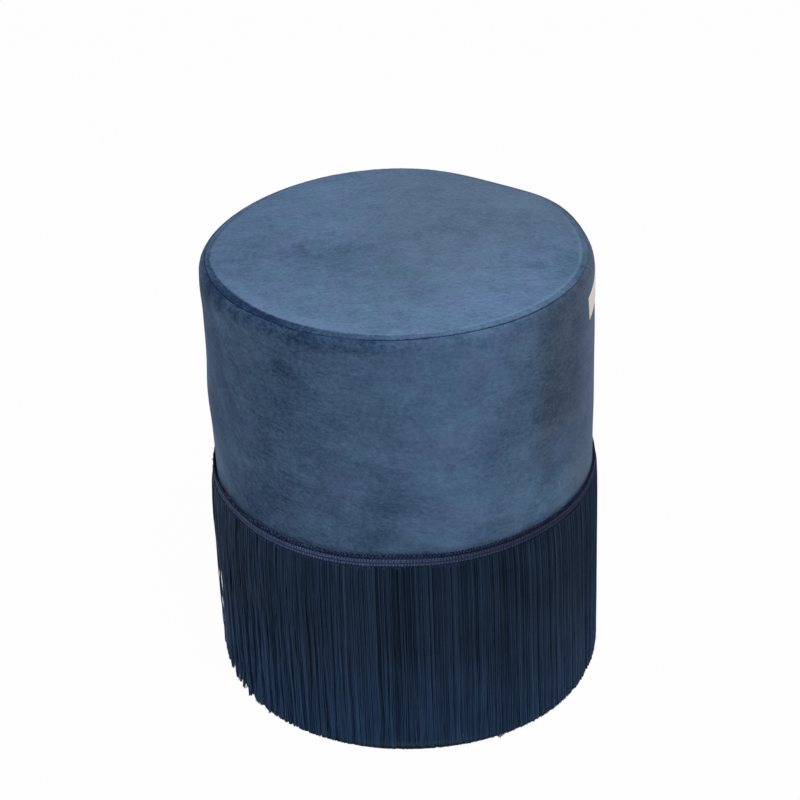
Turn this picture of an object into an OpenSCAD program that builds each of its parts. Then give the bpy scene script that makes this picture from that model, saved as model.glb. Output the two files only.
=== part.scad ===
// Round upholstered pouf: a light wooden frame, foam, a velvet cover and a hanging fringe.
// Millimetres, +Z up. The origin is on the floor, below the middle of the seat.

/* [Body] */
// Outer diameter of the velvet-covered body
body_d = 345; // [320:5:380]
// Height from the floor to the middle of the seat
overall_h = 420; // [390:5:460]
// How far the middle of the seat stands above the crease round it
seat_crown = 4; // [2:0.5:6]
// Rounding of the rim between the seat and the side
edge_r = 11.6; // [10:0.2:14]
// How far the rim stands above the crease, over the turned-in seam allowance
crease_step = 0.6; // [0.3:0.1:1]
// Where the seam lies round the rim, in degrees down from its top
seam_angle = 34; // [28:1:50]
// Rounding of the cover where it turns under the base
base_edge_r = 4; // [3:0.5:6]

/* [Frame] */
// Thickness of the round board at the bottom
base_board_t = 15; // [12:1:20]
// Thickness of the round board under the seat foam
seat_board_t = 12; // [9:1:18]
// Wall of the hardboard tube round the boards
shell_t = 3; // [2:0.5:5]
// Open joint of the hardboard tube at the back
shell_joint = 1; // [0.5:0.5:3]
// Number of posts between the boards, with one glide between each two
post_count = 4; // [3:1:6]
// Width of a square post
post_w = 28; // [22:1:36]

/* [Padding] */
// Thickness of the seat foam at the crease
seat_foam_t = 45; // [30:1:60]
// Thickness of the foam wrapped round the shell
side_foam_t = 6; // [4:0.5:12]

/* [Cover] */
// Thickness of the velvet with its pile
velvet_t = 1.6; // [1.2:0.1:2]
// Depth and half width of the groove along a seam
seam_groove = 0.6; // [0.3:0.1:1]
// Width of the velvet turned under the base
hem_w = 40; // [34:1:48]
// Thickness of the cloth under the base
dust_cover_t = 0.6; // [0.4:0.1:1.2]
// How far the dust cover's edge lies inside the body's outline
dust_cover_inset = 14; // [11:1:16]

/* [Fringe] */
// Length of the fringe with its header
fringe_l = 206.5; // [160:0.5:260]
// Height of the longest yarn ends above the floor
fringe_clear = 3.5; // [2:0.5:12]
// Height of the woven header
header_h = 12.5; // [9:0.5:16]
// Thickness of the header's woven band
header_t = 1.2; // [0.8:0.1:2]
// How far each rib of the header stands out of its band
header_rib = 0.6; // [0.3:0.1:0.9]
// Number of picot loops along the header's upper edge
picot_count = 240; // [120:10:260]
// Width of a picot loop
picot_d = 4.1; // [3:0.1:4.2]
// How far the picot loops stand above the header's band
picot_h = 3.4; // [2:0.1:3.6]
// Thickness of the tape that the yarns hang from
tape_t = 1; // [0.6:0.1:2]
// How far the tape reaches below the header
tape_drop = 3; // [2:0.5:6]
// Number of modelled yarns
strand_count = 400; // [300:10:420]
// Width of a yarn from corner to corner
yarn_d = 2; // [1.4:0.1:2]
// How far the yarn ends swing outwards
fringe_flare = 4; // [0:0.2:8]
// Difference between the longest and the shortest yarn
ragged = 7; // [0:0.5:14]
// Number of bunches that the yarn ends gather in
bunch_count = 26; // [12:1:40]
// Share of the free gap between two ends that a bunch takes up
bunch_pull = 0.8; // [0:0.1:0.9]

/* [Label] */
// Length of the blank label along the side
label_w = 48; // [30:1:60]
// Height of the blank label
label_h = 23; // [15:1:30]
// Thickness of the blank label
label_t = 0.6; // [0.4:0.1:1]
// Distance of the label's middle below the seat
label_drop = 32; // [30:1:80]
// Direction of the label's middle, in degrees round the body from +X
label_turn = -12.5; // [-90:0.5:90]
// Slope of the label, in degrees
label_slope = 12; // [-20:1:20]

/* [Glides] */
// Diameter of a glide
glide_d = 20; // [16:1:24]
// Thickness of a glide
glide_t = 4; // [3:0.5:8]
// Rounding of a glide's lower edge
glide_edge_r = 1; // [0.5:0.1:1.4]
// Distance from a glide's edge to the dust cover's edge
glide_margin = 4; // [2:0.5:6]
// Diameter of a glide nail
nail_d = 2.2; // [1.6:0.1:2.8]
// Length of a glide nail under its head
nail_l = 15; // [11:1:15]
// Diameter of a glide nail's head
nail_head_d = 6; // [5:0.5:8]
// Thickness of a glide nail's head
nail_head_t = 1; // [0.8:0.1:1.4]
// How far a nail's head lies inside its glide
nail_sink = 0.6; // [0.2:0.1:1]

/* [Screws and staples] */
// Diameter of a wood screw
screw_d = 4; // [3:0.5:5]
// Length of a wood screw
screw_l = 40; // [30:5:60]
// Diameter of a screw's countersunk head
screw_head_d = 8; // [7:0.5:10]
// Number of staples between two neighbouring posts, in each row
staples_per_bay = 4; // [2:2:4]
// Width of a staple over its crown
staple_w = 9; // [6:0.5:11]
// Thickness of the staple wire
staple_wire = 0.8; // [0.6:0.1:1]
// Length of a staple's legs
staple_leg = 7; // [6:0.5:8]

/* [Fits] */
// Gap between two round layers that lie one on the other
layer_gap = 0.2; // [0.1:0.05:0.3]
// Gap round a screw, nail or staple in its hole
hole_gap = 0.1; // [0.05:0.05:0.2]

/* [Hidden] */
$fn = 96;

// Levels, from the floor up
hem_z = glide_t + dust_cover_t;             // underside of the velvet hem
frame_z = hem_z + velvet_t;                 // underside of the wooden frame
base_board_top = frame_z + base_board_t;
crease_z = overall_h - seat_crown;
rim_z = crease_z + crease_step;             // top of the rim
foam_z = crease_z - velvet_t - layer_gap - seat_foam_t;
post_top = foam_z - seat_board_t;
header_top = fringe_clear + fringe_l;
header_bottom = header_top - header_h;

// Radii, from the outside in
body_r = body_d / 2;
rim_r = body_r - edge_r;                    // radius of the crease
foam_r = body_r - velvet_t - layer_gap;
shell_r = foam_r - side_foam_t - layer_gap;
board_r = shell_r - shell_t - layer_gap;
hem_r = body_r - hem_w;
dust_cover_r = body_r - dust_cover_inset;
glide_circle = dust_cover_r - glide_margin - glide_d / 2;
hem_staple_circle = hem_r + 6;
dust_cover_staple_circle = dust_cover_r - 4;
post_reach = sqrt(pow(board_r, 2) - pow(post_w / 2, 2));
post_circle = post_reach - post_w / 2;      // the outer corners of a post meet the shell

// Radii outwards from the body
tape_r = body_r + layer_gap + tape_t;
header_r = tape_r + layer_gap;
yarn_bite = tape_t / 2;                     // how deep a yarn is sewn into the tape
yarn_circle = tape_r + yarn_d / 2 - yarn_bite;

// Angles
bay = 360 / post_count;
staple_step = bay / staples_per_bay;
yarn_step = 360 / strand_count;
seam_lap = velvet_t / (edge_r - 2 * velvet_t) * 180 / PI;  // where the side's velvet turns in

// Outline of the covered body

function rim_point(a, r) = [rim_r + r * sin(a), rim_z - edge_r + r * cos(a)];

// Half section of the covered body above the rim's centre, its outline moved in by inset.
module seat_section(inset) {
  crown_h = overall_h - crease_z;
  crown_r = (pow(rim_r, 2) + pow(crown_h, 2)) / (2 * crown_h);
  intersection() {
    union() {
      intersection() {
        translate([0, overall_h - crown_r]) circle(r = crown_r - inset, $fn = 720);
        translate([0, rim_z - edge_r]) square([rim_r, edge_r + crown_h]);
      }
      intersection() {
        translate(rim_point(0, 0)) circle(r = edge_r - inset);
        translate([rim_r, rim_z - edge_r]) square(edge_r);
      }
    }
    square([body_r, overall_h]);
  }
}

// Half section of the covered body below the rim's centre, its outline moved in by inset.
module side_section(inset) {
  low = hem_z + base_edge_r;
  translate([0, low]) square([body_r - inset, rim_z - edge_r - low]);
  translate([0, hem_z + inset]) square([body_r - base_edge_r, low - hem_z - inset]);
  translate([body_r - base_edge_r, low]) circle(r = base_edge_r - inset);
}

// Sector of the rim's section, from one angle to another, down from its top.
module rim_sector(from, to) {
  polygon(concat([rim_point(0, 0)], [for (k = [0 : 4]) rim_point(from + (to - from) * k / 4, 2 * edge_r)]));
}

// Layers of velvet round the rim, counted from its outside, within a sector.
module rim_layers(first, last, from, to) {
  intersection() {
    translate(rim_point(0, 0)) difference() {
      circle(r = edge_r - (first - 1) * velvet_t);
      circle(r = edge_r - last * velvet_t);
    }
    rim_sector(from, to);
  }
}

// Groove that a seam leaves in the pile
module seam_line_section() {
  translate(rim_point(seam_angle, edge_r)) circle(r = seam_groove, $fn = 24);
}

// Frame

module base_board() {
  color("BurlyWood") difference() {
    translate([0, 0, frame_z]) cylinder(r = board_r, h = base_board_t);
    screws_up(hole_gap);
    nails(hole_gap);
    hem_staple_row(hole_gap);
    dust_cover_staple_row(hole_gap);
    staple_row_in(frame_z + base_board_t / 2, hole_gap);
  }
}

module seat_board() {
  color("BurlyWood") difference() {
    translate([0, 0, post_top]) cylinder(r = board_r, h = seat_board_t);
    screws_down(hole_gap);
    staple_row_in(foam_z - seat_board_t / 2, hole_gap);
  }
}

module post(i) {
  color("Wheat") difference() {
    rotate(bay * (i - 1))
      translate([post_circle - post_w / 2, -post_w / 2, base_board_top])
        cube([post_w, post_w, post_top - base_board_top]);
    screws_up(hole_gap);
    screws_down(hole_gap);
  }
}

module side_shell() {
  color("Peru") difference() {
    tube(shell_r, shell_r - shell_t, frame_z, foam_z);
    translate([-shell_joint / 2, 0, frame_z - 1]) cube([shell_joint, body_r, foam_z]);
    staple_row_in(frame_z + base_board_t / 2, hole_gap);
    staple_row_in(foam_z - seat_board_t / 2, hole_gap);
  }
}

// Padding

module side_foam() {
  color("LightYellow") tube(foam_r, foam_r - side_foam_t, frame_z, foam_z);
}

// The seat foam fills the cover's rim and gives way under the folded seam allowances.
module seat_foam() {
  color("LightYellow") rotate_extrude() difference() {
    intersection() {
      union() {
        seat_section(velvet_t + layer_gap);
        side_section(velvet_t + layer_gap);
      }
      translate([0, foam_z]) square([body_r, overall_h]);
    }
    difference() {
      rim_sector(-seam_lap, seam_angle + 2 * seam_lap);
      translate(rim_point(0, 0)) circle(r = edge_r - 3 * velvet_t - layer_gap);
    }
  }
}

// Cover

// The velvet disc of the seat, with its edge folded back under the rim.
module top_panel() {
  color("SteelBlue") rotate_extrude() {
    difference() {
      seat_section(0);
      seat_section(velvet_t);
      rim_sector(seam_angle, 120);
      seam_line_section();
    }
    rim_layers(2, 2, 0, seam_angle);
  }
}

// The velvet strip of the side: its upper edge is turned in at the seam and lies under the
// seat's, and its lower edge is turned under the base.
module side_panel() {
  color("SteelBlue") difference() {
    rotate_extrude() {
      difference() {
        rim_layers(1, 1, seam_angle, 90);
        seam_line_section();
      }
      rim_layers(2, 3, seam_angle, seam_angle + seam_lap);
      rim_layers(3, 3, 0, seam_angle);
      difference() {
        side_section(0);
        side_section(velvet_t);
        square([hem_r, frame_z]);
      }
    }
    back_seam();
    nails(hole_gap);
    hem_staple_row(hole_gap);
    dust_cover_staple_row(hole_gap);
  }
}

// Groove of the seam that closes the velvet strip at the back
module back_seam() {
  translate([-seam_groove, body_r - seam_groove, hem_z + base_edge_r])
    cube([2 * seam_groove, body_r, rim_z - edge_r - hem_z - base_edge_r]);
}

module dust_cover() {
  color("DimGray") difference() {
    translate([0, 0, glide_t]) cylinder(r = dust_cover_r, h = dust_cover_t);
    nails(hole_gap);
    dust_cover_staple_row(hole_gap);
  }
}

module label() {
  color("OldLace") intersection() {
    tube(body_r + layer_gap + label_t, body_r + layer_gap, crease_z - label_drop - 2 * label_h, crease_z);
    rotate(label_turn) translate([body_r, 0, crease_z - label_drop]) rotate([label_slope, 0, 0])
      cube([body_r, label_w, label_h], center = true);
  }
}

// Fringe

// Braid that heads the fringe: a woven band with two raised ribs and a row of picot loops.
module fringe_header() {
  band_h = header_h - picot_h;
  rib_r = band_h / 6;
  picot_t = header_t * 0.8;
  color("MidnightBlue") {
    rotate_extrude() {
      translate([header_r, header_bottom]) square([header_t, band_h]);
      difference() {
        for (level = [rib_r, 3.4 * rib_r])
          translate([header_r + header_t + header_rib - rib_r, header_bottom + level]) circle(r = rib_r);
        square([header_r, header_top]);
      }
    }
    for (i = [1 : picot_count])
      rotate(i * 360 / picot_count)
        translate([header_r + (header_t - picot_t) / 2, 0, header_top - picot_d / 2])
          rotate([0, 90, 0]) cylinder(d = picot_d, h = picot_t);
  }
}

// A pseudo-random number from 0 to 1 that belongs to yarn i
function scatter(i) = 0.5 + 0.5 * sin(i * 137.5) * cos(i * 61.3);

// Hanging yarns, each with its own length and lean, on a slice of the tape behind the header.
module fringe_strands() {
  top = header_bottom - layer_gap;
  end_circle = yarn_circle + fringe_flare;
  free_gap = end_circle * 2 * sin(yarn_step / 2) - yarn_d;
  sway = bunch_pull * free_gap / (bunch_count * yarn_step * PI / 180);
  hang = top - fringe_clear;
  color("MidnightBlue") {
    tube(tape_r, body_r + layer_gap, header_bottom - tape_drop, header_top);
    for (i = [1 : strand_count]) {
      drop = hang - ragged * scatter(i);
      rotate(i * yarn_step) translate([yarn_circle, 0, top])
        rotate([atan(sway * sin(bunch_count * i * yarn_step) / hang), -atan(fringe_flare / hang), 0])
          translate([0, 0, -drop]) linear_extrude(drop) circle(d = yarn_d, $fn = 4);
    }
  }
}

// Glides and fasteners

module glides() {
  color("Black") difference() {
    at_glides() rotate_extrude() {
      translate([0, glide_edge_r]) square([glide_d / 2, glide_t - glide_edge_r]);
      square([glide_d / 2 - glide_edge_r, glide_edge_r]);
      translate([glide_d / 2 - glide_edge_r, glide_edge_r]) circle(r = glide_edge_r);
    }
    nails(hole_gap);
    at_glides() translate([0, 0, -1]) cylinder(d = nail_head_d + 2 * hole_gap, h = nail_sink + 1);
  }
}

module glide_nails() {
  color("Silver") nails(0);
}

module base_screws() {
  color("Goldenrod") screws_up(0);
}

module seat_screws() {
  color("Goldenrod") screws_down(0);
}

module shell_staples() {
  color("Silver") {
    staple_row_in(frame_z + base_board_t / 2, 0);
    staple_row_in(foam_z - seat_board_t / 2, 0);
  }
}

module hem_staples() {
  color("Silver") hem_staple_row(0);
}

module dust_cover_staples() {
  color("Silver") dust_cover_staple_row(0);
}

module tube(outer, inner, low, high) {
  translate([0, 0, low]) difference() {
    cylinder(r = outer, h = high - low);
    translate([0, 0, -1]) cylinder(r = inner, h = high - low + 2);
  }
}

module at_glides() {
  for (i = [1 : post_count])
    rotate(bay * (i - 0.5)) translate([glide_circle, 0, 0]) children();
}

// Nails of the glides, point up; grow makes their holes.
module nails(grow) {
  head_r = nail_head_d / 2 + grow;
  shank_r = nail_d / 2 + grow;
  at_glides() translate([0, 0, nail_sink]) rotate_extrude() {
    square([head_r, nail_head_t]);
    polygon([[0, 0], [shank_r, 0], [shank_r, nail_head_t + nail_l - nail_d], [0, nail_head_t + nail_l + grow]]);
  }
}

// A countersunk wood screw with its head's face at z = 0 and its point up; grow makes its hole.
module screw(grow) {
  head_r = screw_head_d / 2 + grow;
  shank_r = screw_d / 2 + grow;
  rotate_extrude()
    polygon([[0, 0], [head_r, 0], [shank_r, head_r - shank_r], [shank_r, screw_l - screw_d], [0, screw_l + grow]]);
}

module screws_up(grow) {
  for (i = [1 : post_count])
    rotate(bay * (i - 1)) translate([post_circle, 0, frame_z]) screw(grow);
}

module screws_down(grow) {
  for (i = [1 : post_count])
    rotate(bay * (i - 1)) translate([post_circle, 0, foam_z]) mirror([0, 0, 1]) screw(grow);
}

// A staple with its crown below z = 0, along Y, and its legs up; grow makes its holes.
module staple(grow) {
  wide = staple_wire + 2 * grow;
  translate([-wide / 2, -staple_w / 2 - grow, -staple_wire - grow]) cube([wide, staple_w + 2 * grow, wide]);
  for (side = [-1, 1])
    translate([-wide / 2, side * (staple_w - staple_wire) / 2 - wide / 2, -staple_wire - grow])
      cube([wide, wide, staple_wire + staple_leg + 2 * grow]);
}

// A ring of staples driven up, with their crowns below height z
module staple_row_up(circle_r, z, grow) {
  for (i = [1 : post_count * staples_per_bay])
    rotate((i - 0.5) * staple_step) translate([circle_r, 0, z]) staple(grow);
}

// A ring of staples driven inwards through the shell, their crowns flush with its outside
module staple_row_in(z, grow) {
  for (i = [1 : post_count * staples_per_bay])
    rotate((i - 0.5) * staple_step) translate([shell_r - staple_wire, 0, z]) rotate([0, -90, 0]) staple(grow);
}

// The hem's staples press their crowns into the pile, so that the dust cover lies flat on them.
module hem_staple_row(grow) {
  staple_row_up(hem_staple_circle, hem_z + staple_wire, grow);
}

module dust_cover_staple_row(grow) {
  staple_row_up(dust_cover_staple_circle, glide_t, grow);
}

base_board();
seat_board();
for (i = [1 : post_count])
  post(i);
side_shell();
side_foam();
seat_foam();
top_panel();
side_panel();
fringe_header();
fringe_strands();
label();
dust_cover();
glides();
glide_nails();
base_screws();
seat_screws();
shell_staples();
hem_staples();
dust_cover_staples();
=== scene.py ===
# Fringed velvet pouf: the cover, braid and hanging yarns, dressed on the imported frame. Metres, +Z up.
from math import cos, degrees, exp, hypot, pi, radians, sin, sqrt, tau

import bmesh
import bpy
from mathutils import Matrix, Vector, noise


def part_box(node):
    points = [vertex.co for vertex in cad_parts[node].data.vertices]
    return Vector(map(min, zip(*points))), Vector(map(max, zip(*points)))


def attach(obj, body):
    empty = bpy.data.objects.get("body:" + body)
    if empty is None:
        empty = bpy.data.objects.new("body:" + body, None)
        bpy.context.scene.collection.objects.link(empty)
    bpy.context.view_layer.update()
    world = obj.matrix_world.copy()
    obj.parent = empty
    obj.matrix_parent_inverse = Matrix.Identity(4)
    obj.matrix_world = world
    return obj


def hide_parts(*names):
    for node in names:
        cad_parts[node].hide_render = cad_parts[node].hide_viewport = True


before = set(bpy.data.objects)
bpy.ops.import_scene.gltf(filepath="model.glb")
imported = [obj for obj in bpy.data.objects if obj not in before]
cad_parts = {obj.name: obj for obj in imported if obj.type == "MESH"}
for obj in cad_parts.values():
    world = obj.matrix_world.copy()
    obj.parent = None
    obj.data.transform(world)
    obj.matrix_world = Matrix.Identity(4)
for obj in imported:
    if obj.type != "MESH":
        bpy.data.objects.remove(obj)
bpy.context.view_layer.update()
print("frame loaded")

# Levels and radii that every piece takes from the frame
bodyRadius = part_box("side_panel")[1].x
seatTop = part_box("top_panel")[1].z
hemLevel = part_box("side_panel")[0].z
headerLow, headerHigh = (corner.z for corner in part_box("fringe_header"))
headerDepth = 0.0018  # the band with its ribs
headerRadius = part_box("fringe_header")[1].x - headerDepth
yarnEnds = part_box("fringe_strands")[0].z

# Rounding and layers of the cover as in the CAD source, where the seam lies at 34 degrees all round
cover = {
    "crown": 0.004,  # the seat's middle above its crease
    "edge": 0.0116,  # radius of the rim
    "crease": 0.0006,  # how far the rim stands above the crease
    "thickness": 0.0016,
    "underEdge": 0.004,  # radius where the side turns under
    "hem": 0.04,
    "seam": 31.5,  # degrees down the rim from its top
    "band": 0.0067,  # cloth between the crease and the seam
    "turnIn": 0.0095,  # height of the seam above the foot of the rim
}
rimRadius = bodyRadius - cover["edge"]
rimLevel = seatTop - cover["crown"] + cover["crease"] - cover["edge"]  # height of the rim's centre


class Wire:  # a socket that can be used in sums: each sum adds its Math node
    def __init__(self, nodes, socket):
        self.nodes = nodes
        self.socket = socket

    def out(self, name):
        return Wire(self.nodes, self.nodes.find(self.socket.node.outputs, name))

    def __add__(self, other):
        return self.nodes.math("ADD", self, other)

    def __radd__(self, other):
        return self.nodes.math("ADD", other, self)

    def __sub__(self, other):
        return self.nodes.math("SUBTRACT", self, other)

    def __rsub__(self, other):
        return self.nodes.math("SUBTRACT", other, self)

    def __mul__(self, other):
        return self.nodes.math("MULTIPLY", self, other)

    def __rmul__(self, other):
        return self.nodes.math("MULTIPLY", other, self)

    def __truediv__(self, other):
        return self.nodes.math("DIVIDE", self, other)

    def __pow__(self, other):
        return self.nodes.math("POWER", self, other)


class Nodes:  # adds nodes to a shader or geometry tree
    def __init__(self, tree):
        self.tree = tree

    def find(self, sockets, key):
        if isinstance(key, int):
            return sockets[key]
        exact = [socket for socket in sockets if socket.identifier == key]
        named = [socket for socket in sockets if socket.enabled and socket.name == key]
        return (exact or named)[0]

    def add(self, kind, settings=None, values=None, out=0):
        node = self.tree.nodes.new(kind)
        for key, value in (settings or {}).items():
            if key == "stops":
                self.setStops(node.color_ramp, value)
            else:
                setattr(node, key, value)
        for key, value in (values or {}).items():
            socket = self.find(node.inputs, key)
            if isinstance(value, Wire):
                self.tree.links.new(value.socket, socket)
            else:
                socket.default_value = value
        return Wire(self, self.find(node.outputs, out)) if node.outputs else node

    def setStops(self, ramp, stops):
        while len(ramp.elements) < len(stops):
            ramp.elements.new(1)
        for element, (position, colour) in zip(ramp.elements, stops):
            element.position = position
            element.color = (*colour, 1)

    def math(self, operation, *values):
        return self.add("ShaderNodeMath", {"operation": operation}, dict(enumerate(values)))

    def vector(self, x=0.0, y=0.0, z=0.0):
        return self.add("ShaderNodeCombineXYZ", {}, {"X": x, "Y": y, "Z": z})

    def polar(self, turn, radius, level):
        return self.vector(self.math("COSINE", turn) * radius, self.math("SINE", turn) * radius, level)

    def split(self, place, part="X"):
        return self.add("ShaderNodeSeparateXYZ", {}, {0: place}, part)

    def bearing(self, where):  # the turn round the axis, from a split place
        return self.math("ARCTAN2", where.out("Y"), where)

    def noise(self, place, scale, detail=2.0, roughness=0.5, distortion=0.0):
        fineness = {"Scale": scale, "Detail": detail, "Roughness": roughness}
        return self.add("ShaderNodeTexNoise", {}, {"Vector": place, "Distortion": distortion, **fineness})

    def stretch(self, place, scale, turn=0.0):  # turned first, so that what is drawn out lies at that angle
        if turn:
            turned = {"Vector": place, "Angle": -turn}
            place = self.add("ShaderNodeVectorRotate", {"rotation_type": "Z_AXIS"}, turned, "Vector")
        return self.add("ShaderNodeMapping", {}, {"Vector": place, "Scale": scale})

    def mix(self, factor, first, second):
        settings = {"data_type": "RGBA", "clamp_factor": True}
        values = {"Factor_Float": factor, "A_Color": colour(first), "B_Color": colour(second)}
        return self.add("ShaderNodeMix", settings, values, "Result_Color")

    def bump(self, height, distance, strength=1.0, normal=None):
        values = {"Height": height, "Distance": distance, "Strength": strength}
        if normal:
            values["Normal"] = normal
        return self.add("ShaderNodeBump", {}, values)

    def step(self, value, low, high):  # 0 below low, 1 above high, smooth between
        sizes = {"Value": value, "From Min": low, "From Max": high}
        return self.add("ShaderNodeMapRange", {"interpolation_type": "SMOOTHSTEP"}, sizes)

    def ridge(self, value, middle, width):  # 1 at the middle, falling to 0 beside it
        off = (value - middle) / width
        return self.math("EXPONENT", off * off * -1.0)

    def hump(self, turn, middle, width):  # as bump() further down, for a bearing that the tree works out
        away = self.math("COSINE", turn - radians(middle)) - 1.0
        return self.math("EXPONENT", away * (2 / radians(width) ** 2))

    def humps(self, turn, places):  # as bumps() further down
        return sum((self.hump(turn, middle, width) * change for middle, width, change in places), 0.0)

    def random(self, low, high, seed):
        values = {"Min_001": low, "Max_001": high, "Seed": seed}
        return self.add("FunctionNodeRandomValue", {"data_type": "FLOAT"}, values, "Value_001")

    def read(self, name):
        kind = {"data_type": "FLOAT"}
        return self.add("GeometryNodeInputNamedAttribute", kind, {"Name": name}, "Attribute")

    def store(self, shape, **values):
        for name, value in values.items():
            sockets = {"Geometry": shape, "Name": name, "Value": value}
            shape = self.add("GeometryNodeStoreNamedAttribute", {"data_type": "FLOAT"}, sockets)
        return shape

    def circle(self, count, radius):
        values = {"Resolution": count, "Radius": radius}
        return self.add("GeometryNodeCurvePrimitiveCircle", {"mode": "RADIUS"}, values)

    def tube(self, line, radius, sides=6, caps=False):
        values = {"Curve": line, "Profile Curve": self.circle(sides, radius), "Fill Caps": caps}
        return self.add("GeometryNodeCurveToMesh", {}, values)

    def bead(self, radius, segments=8):
        values = {"Segments": segments, "Rings": 6, "Radius": radius}
        return self.add("GeometryNodeMeshUVSphere", {}, values)

    def scatter(self, points, shape, **stance):  # one copy of the shape on each point
        placed = self.add("GeometryNodeInstanceOnPoints", {}, {"Points": points, "Instance": shape, **stance})
        return self.add("GeometryNodeRealizeInstances", {}, {"Geometry": placed})

    def smooth(self, *shapes):
        node = self.add("GeometryNodeJoinGeometry")
        for shape in shapes:
            self.tree.links.new(shape.socket, node.socket.node.inputs[0])
        return self.add("GeometryNodeSetShadeSmooth", {}, {"Geometry": node})


def colour(value):
    return value if isinstance(value, Wire) else (*value, 1)


def clearNodes(owner):  # of a material or a world
    owner.use_nodes = True
    owner.node_tree.nodes.clear()
    return Nodes(owner.node_tree)


def makeMaterial(name, look, **fixed):
    material = bpy.data.materials.new(name)
    nodes = clearNodes(material)
    shader = nodes.add("ShaderNodeBsdfPrincipled", {}, look(nodes))
    for socket, value in fixed.items():
        shader.socket.node.inputs[socket.replace("_", " ")].default_value = value
    nodes.add("ShaderNodeOutputMaterial", {}, {"Surface": shader})
    return material


def clothPlace(nodes):
    return nodes.add("ShaderNodeUVMap", {"uv_map": "cloth"})


def objectPlace(nodes):
    return nodes.add("ShaderNodeTexCoord", {}, {}, "Object")


def addObject(name, data):
    piece = bpy.data.objects.new(name, data)
    bpy.context.collection.objects.link(piece)
    return piece


def makePiece(name, points, faces, material, uvs=None, smooth=True):
    mesh = bpy.data.meshes.new(name)
    mesh.from_pydata(points, [], faces)
    mesh.materials.append(material)
    if uvs:
        layer = mesh.uv_layers.new(name="cloth")
        for loop in mesh.loops:
            layer.data[loop.index].uv = uvs[loop.vertex_index]
    mesh.polygons.foreach_set("use_smooth", [smooth] * len(mesh.polygons))
    mesh.validate()
    return addObject(name, mesh)


# Turns a closed outline round the axis. place(turn, k) gives the radius and height of its point k, and
# cloth(turn, k) where that point lies on the flat cloth.
def turnOutline(name, count, place, material, steps=480, cloth=None):
    points, uvs, faces = [], [], []
    for i in range(steps):
        turn = tau * i / steps + pi / 2
        for k in range(count):
            radius, height = place(turn, k)
            points.append((radius * cos(turn), radius * sin(turn), height))
            uvs.append(cloth(turn, k) if cloth else (turn * bodyRadius, height))
    for i in range(steps):
        here, beside = i * count, (i + 1) % steps * count
        for k in range(count):
            above = (k + 1) % count
            faces.append((here + k, beside + k, beside + above, here + above))
    piece = makePiece(name, points, faces, material, uvs)
    closeSeams(piece)
    return piece


# Merges the points on the axis, drops what has no area and turns every face outwards.
def closeSeams(piece, onAxis=1e-5, near=1e-4, thin=1e-7):
    work = bmesh.new()
    work.from_mesh(piece.data)
    middle = [point for point in work.verts if hypot(point.co.x, point.co.y) < onAxis]
    bmesh.ops.remove_doubles(work, verts=middle, dist=near)
    bmesh.ops.dissolve_degenerate(work, edges=work.edges, dist=thin)
    bmesh.ops.recalc_face_normals(work, faces=work.faces)
    work.to_mesh(piece.data)
    work.free()


# Runs a Geometry Nodes rule with named inputs and keeps its result as a plain mesh.
def grow(name, rule, sizes, material, start=None):
    tree = bpy.data.node_groups.new(name + "Rule", "GeometryNodeTree")
    tree.interface.new_socket("Geometry", in_out="INPUT", socket_type="NodeSocketGeometry")
    tree.interface.new_socket("Shape", in_out="OUTPUT", socket_type="NodeSocketGeometry")
    for key, value in sizes.items():
        kind = "NodeSocketInt" if isinstance(value, int) else "NodeSocketFloat"
        tree.interface.new_socket(key, in_out="INPUT", socket_type=kind)
    nodes = Nodes(tree)
    given = nodes.add("NodeGroupInput")
    shape = rule(nodes, {key: given.out(key) for key in ("Geometry", *sizes)})
    shape = nodes.add("GeometryNodeRealizeInstances", {}, {"Geometry": shape})
    shape = nodes.add("GeometryNodeSetMaterial", {}, {"Geometry": shape, "Material": material})
    nodes.add("NodeGroupOutput", {}, {"Shape": shape})
    piece = addObject(name, start or bpy.data.meshes.new(name))
    modifier = piece.modifiers.new("rule", "NODES")
    modifier.node_group = tree
    for item in tree.interface.items_tree:
        if item.in_out == "INPUT" and item.name in sizes:
            modifier[item.identifier] = sizes[item.name]
    grown = bpy.data.meshes.new_from_object(piece.evaluated_get(bpy.context.evaluated_depsgraph_get()))
    piece.modifiers.clear()
    piece.data = grown
    grown.name = name
    if not grown.materials:
        grown.materials.append(material)
    return piece


def belong(piece, slot, *replaced):
    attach(piece, "root")
    if replaced:
        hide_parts(*replaced)
    return piece


def bump(turn, middle, width):  # 1 at one bearing in degrees, falling to 0 beside it
    away = (degrees(turn) - middle + 180) % 360 - 180
    return exp(-((away / width) ** 2))


def bumps(turn, places):  # the sum of several: bearing, width, height
    return sum(change * bump(turn, middle, width) for middle, width, change in places)


def clamp(value):
    return min(max(value, 0), 1)


# Camera at the photograph's viewpoint
camera = {
    "place": (0, -1.5895, 1.1963),
    "pitch": 59.5,  # degrees up from straight down
    "yaw": 0.07,
    "roll": -1.98,
    "lens": 91.5,  # millimetres
    "sensor": 36,
}


def makeCamera(size):
    data = bpy.data.cameras.new("camera")
    data.lens = size["lens"]
    data.sensor_width = size["sensor"]
    stance = Matrix.Translation(size["place"])
    for key, axis in (("pitch", "X"), ("yaw", "Y"), ("roll", "Z")):
        stance = stance @ Matrix.Rotation(radians(size[key]), 4, axis)
    eye = addObject("camera", data)
    eye.matrix_world = stance
    bpy.context.scene.camera = eye


# Studio: a soft overhead light, a weak world and a white floor
studio = {
    "world": 0.42,
    "keyPower": 19.0,
    "keySize": 1.1,
    "keyPlace": (0.28, -0.85, 1.9),
    "floorSize": 6.0,
    "floorGrey": 0.8,
    "floorWhite": 0.975,  # share of plain white that the camera sees on the floor
}


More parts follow.
